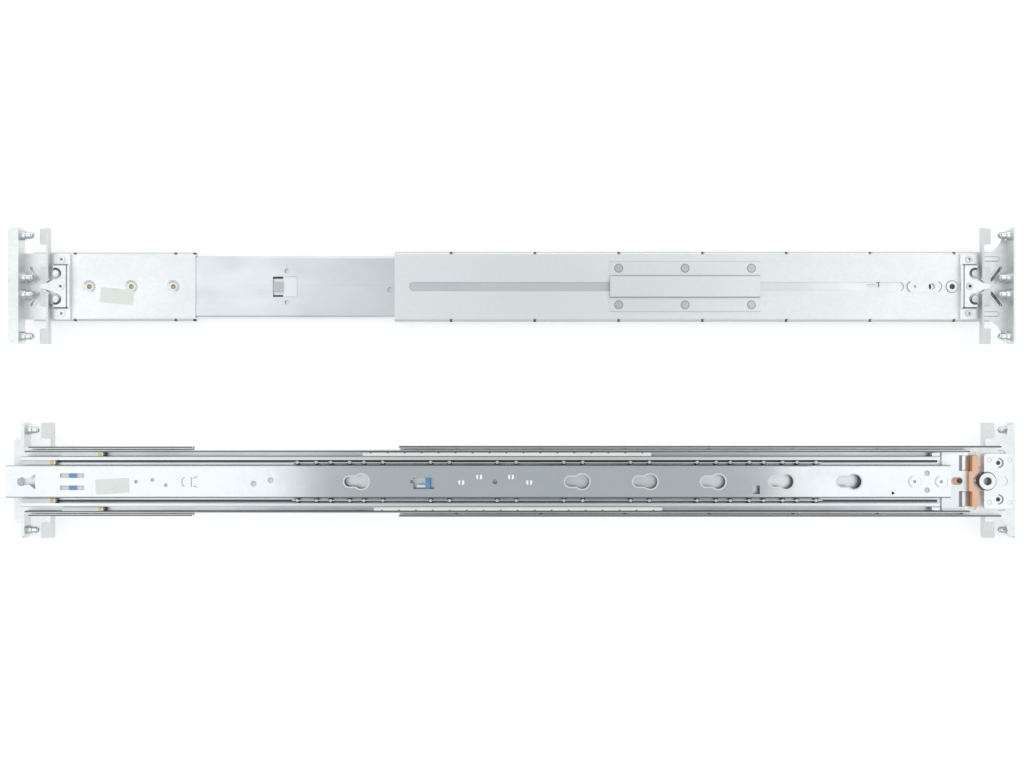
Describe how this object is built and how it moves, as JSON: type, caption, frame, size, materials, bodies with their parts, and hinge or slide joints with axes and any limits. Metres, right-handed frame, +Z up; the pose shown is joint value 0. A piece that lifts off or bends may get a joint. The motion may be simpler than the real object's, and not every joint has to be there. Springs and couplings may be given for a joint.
{
  "type": "sliding server rail pair",
  "caption": "Pair of ball-bearing telescopic rack slides with studded mounting ears, scissor latches and a depth-adjusting rear bracket.",
  "frame": {"origin": "middle of the pair's footprint, on the surface that both rails lie on", "axes": "+X runs back along the rails from the front ears to the rear ears, +Y is up the rack on both rails as they lie, +Z is up from the table"},
  "size_m": [0.7596, 0.234, 0.031],
  "materials": {
    "zinc_steel": "bright zinc-plated sheet, satin with faint spangle",
    "lever_steel": "zinc-plated sheet, slightly warmer and duller",
    "bright_steel": "bright nickel plate",
    "ball_steel": "polished hard steel",
    "spring_steel": "blued spring steel",
    "dark_steel": "oiled dark steel strip",
    "ivory_plastic": "ivory moulded plastic",
    "grey_plastic": "grey moulded plastic",
    "blue_plastic": "blue moulded plastic",
    "orange_plastic": "orange moulded plastic"
  },
  "bodies": {
    "fixed_rails": {"right_outer_member": "zinc_steel", "right_front_bracket": "zinc_steel", "right_front_ear": "zinc_steel", "right_front_cover": "zinc_steel", "right_front_pins": "bright_steel", "right_front_spring": "spring_steel", "right_fixed_rivets": "bright_steel", "right_hold_latch": "spring_steel", "right_glide_block": "orange_plastic", "right_front_guides": "grey_plastic", "left_outer_member": "zinc_steel", "left_front_bracket": "zinc_steel", "left_front_ear": "zinc_steel", "left_front_cover": "zinc_steel", "left_front_pins": "bright_steel", "left_front_spring": "spring_steel", "left_fixed_rivets": "bright_steel", "left_hold_latch": "spring_steel", "left_glide_block": "orange_plastic", "left_front_guides": "grey_plastic"},
    "right_rear_bracket_assembly": {"right_rear_bracket": "zinc_steel", "right_rear_ear": "zinc_steel", "right_rear_cover": "zinc_steel", "right_rear_pins": "bright_steel", "right_rear_spring": "spring_steel", "right_rear_rivets": "bright_steel", "right_bridge_plate": "zinc_steel", "right_rear_platform": "zinc_steel"},
    "right_middle_member_assembly": {"right_middle_member": "zinc_steel", "right_middle_guides": "grey_plastic"},
    "right_inner_member_body": {"right_inner_member": "zinc_steel"},
    "right_release_slide_body": {"right_release_slide": "blue_plastic"},
    "right_outer_ball_train": {"right_outer_cages": "ivory_plastic", "right_outer_balls": "ball_steel"},
    "right_inner_ball_train": {"right_inner_retainer": "dark_steel", "right_inner_balls": "ball_steel"},
    "right_front_upper_latch": {"right_front_lever_upper": "lever_steel"},
    "right_front_lower_latch": {"right_front_lever_lower": "lever_steel"},
    "right_rear_upper_latch": {"right_rear_lever_upper": "lever_steel"},
    "right_rear_lower_latch": {"right_rear_lever_lower": "lever_steel"},
    "left_rear_bracket_assembly": {"left_rear_bracket": "zinc_steel", "left_rear_ear": "zinc_steel", "left_rear_cover": "zinc_steel", "left_rear_pins": "bright_steel", "left_rear_spring": "spring_steel", "left_rear_rivets": "bright_steel", "left_bridge_plate": "zinc_steel", "left_rear_platform": "zinc_steel"},
    "left_middle_member_assembly": {"left_middle_member": "zinc_steel", "left_middle_guides": "grey_plastic"},
    "left_inner_member_body": {"left_inner_member": "zinc_steel"},
    "left_release_slide_body": {"left_release_slide": "blue_plastic"},
    "left_outer_ball_train": {"left_outer_cages": "ivory_plastic", "left_outer_balls": "ball_steel"},
    "left_inner_ball_train": {"left_inner_retainer": "dark_steel", "left_inner_balls": "ball_steel"},
    "left_front_upper_latch": {"left_front_lever_upper": "lever_steel"},
    "left_front_lower_latch": {"left_front_lever_lower": "lever_steel"},
    "left_rear_upper_latch": {"left_rear_lever_upper": "lever_steel"},
    "left_rear_lower_latch": {"left_rear_lever_lower": "lever_steel"}
  },
  "joints": [
    {"name": "right_rear_extend", "type": "slide", "parent": "fixed_rails", "child": "right_rear_bracket_assembly", "axis": [1, 0, 0], "range_m": [0, 0.16]},
    {"name": "right_middle_slide", "type": "slide", "parent": "fixed_rails", "child": "right_middle_member_assembly", "axis": [-1, 0, 0], "range_m": [0, 0.36]},
    {"name": "right_inner_slide", "type": "slide", "parent": "right_middle_member_assembly", "child": "right_inner_member_body", "axis": [-1, 0, 0], "range_m": [0, 0.35]},
    {"name": "right_outer_ball_roll", "type": "slide", "parent": "fixed_rails", "child": "right_outer_ball_train", "axis": [-1, 0, 0], "range_m": [0, 0.18]},
    {"name": "right_inner_ball_roll", "type": "slide", "parent": "right_middle_member_assembly", "child": "right_inner_ball_train", "axis": [-1, 0, 0], "range_m": [0, 0.175]},
    {"name": "right_release_pull", "type": "slide", "parent": "right_inner_member_body", "child": "right_release_slide_body", "axis": [-1, 0, 0], "range_m": [0, 0.006], "stiffness_N_per_m": 100, "springref_m": -0.01},
    {"name": "right_front_upper_hinge", "type": "hinge", "parent": "fixed_rails", "child": "right_front_upper_latch", "pos_m": [-0.34605, 0.08301, 0.02], "axis": [0, 0, -1], "range_deg": [0, 12], "stiffness_Nm_per_rad": 0.1, "springref_deg": -11.46},
    {"name": "right_front_lower_hinge", "type": "hinge", "parent": "fixed_rails", "child": "right_front_lower_latch", "pos_m": [-0.34605, 0.06369, 0.02], "axis": [0, 0, 1], "range_deg": [0, 12], "stiffness_Nm_per_rad": 0.1, "springref_deg": -11.46},
    {"name": "right_rear_upper_hinge", "type": "hinge", "parent": "right_rear_bracket_assembly", "child": "right_rear_upper_latch", "pos_m": [0.34745, 0.08301, 0.02], "axis": [0, 0, 1], "range_deg": [0, 12], "stiffness_Nm_per_rad": 0.1, "springref_deg": -11.46},
    {"name": "right_rear_lower_hinge", "type": "hinge", "parent": "right_rear_bracket_assembly", "child": "right_rear_lower_latch", "pos_m": [0.34745, 0.06369, 0.02], "axis": [0, 0, -1], "range_deg": [0, 12], "stiffness_Nm_per_rad": 0.1, "springref_deg": -11.46},
    {"name": "left_rear_extend", "type": "slide", "parent": "fixed_rails", "child": "left_rear_bracket_assembly", "axis": [1, 0, 0], "range_m": [0, 0.1558]},
    {"name": "left_middle_slide", "type": "slide", "parent": "fixed_rails", "child": "left_middle_member_assembly", "axis": [-1, 0, 0], "range_m": [0, 0.36]},
    {"name": "left_inner_slide", "type": "slide", "parent": "left_middle_member_assembly", "child": "left_inner_member_body", "axis": [-1, 0, 0], "range_m": [0, 0.35]},
    {"name": "left_outer_ball_roll", "type": "slide", "parent": "fixed_rails", "child": "left_outer_ball_train", "axis": [-1, 0, 0], "range_m": [0, 0.18]},
    {"name": "left_inner_ball_roll", "type": "slide", "parent": "left_middle_member_assembly", "child": "left_inner_ball_train", "axis": [-1, 0, 0], "range_m": [0, 0.175]},
    {"name": "left_release_pull", "type": "slide", "parent": "left_inner_member_body", "child": "left_release_slide_body", "axis": [-1, 0, 0], "range_m": [0, 0.006], "stiffness_N_per_m": 100, "springref_m": -0.01},
    {"name": "left_front_upper_hinge", "type": "hinge", "parent": "fixed_rails", "child": "left_front_upper_latch", "pos_m": [-0.34605, -0.06369, 0.011], "axis": [0, 0, -1], "range_deg": [0, 12], "stiffness_Nm_per_rad": 0.1, "springref_deg": -11.46},
    {"name": "left_front_lower_hinge", "type": "hinge", "parent": "fixed_rails", "child": "left_front_lower_latch", "pos_m": [-0.34605, -0.08301, 0.011], "axis": [0, 0, 1], "range_deg": [0, 12], "stiffness_Nm_per_rad": 0.1, "springref_deg": -11.46},
    {"name": "left_rear_upper_hinge", "type": "hinge", "parent": "left_rear_bracket_assembly", "child": "left_rear_upper_latch", "pos_m": [0.35165, -0.06369, 0.011], "axis": [0, 0, 1], "range_deg": [0, 12], "stiffness_Nm_per_rad": 0.1, "springref_deg": -11.46},
    {"name": "left_rear_lower_hinge", "type": "hinge", "parent": "left_rear_bracket_assembly", "child": "left_rear_lower_latch", "pos_m": [0.35165, -0.08301, 0.011], "axis": [0, 0, -1], "range_deg": [0, 12], "stiffness_Nm_per_rad": 0.1, "springref_deg": -11.46}
  ],
  "couplings": [
    {"joint": "right_outer_ball_roll", "follows": "right_middle_slide", "ratio": 0.5},
    {"joint": "right_inner_ball_roll", "follows": "right_inner_slide", "ratio": 0.5},
    {"joint": "left_outer_ball_roll", "follows": "left_middle_slide", "ratio": 0.5},
    {"joint": "left_inner_ball_roll", "follows": "left_inner_slide", "ratio": 0.5}
  ]
}
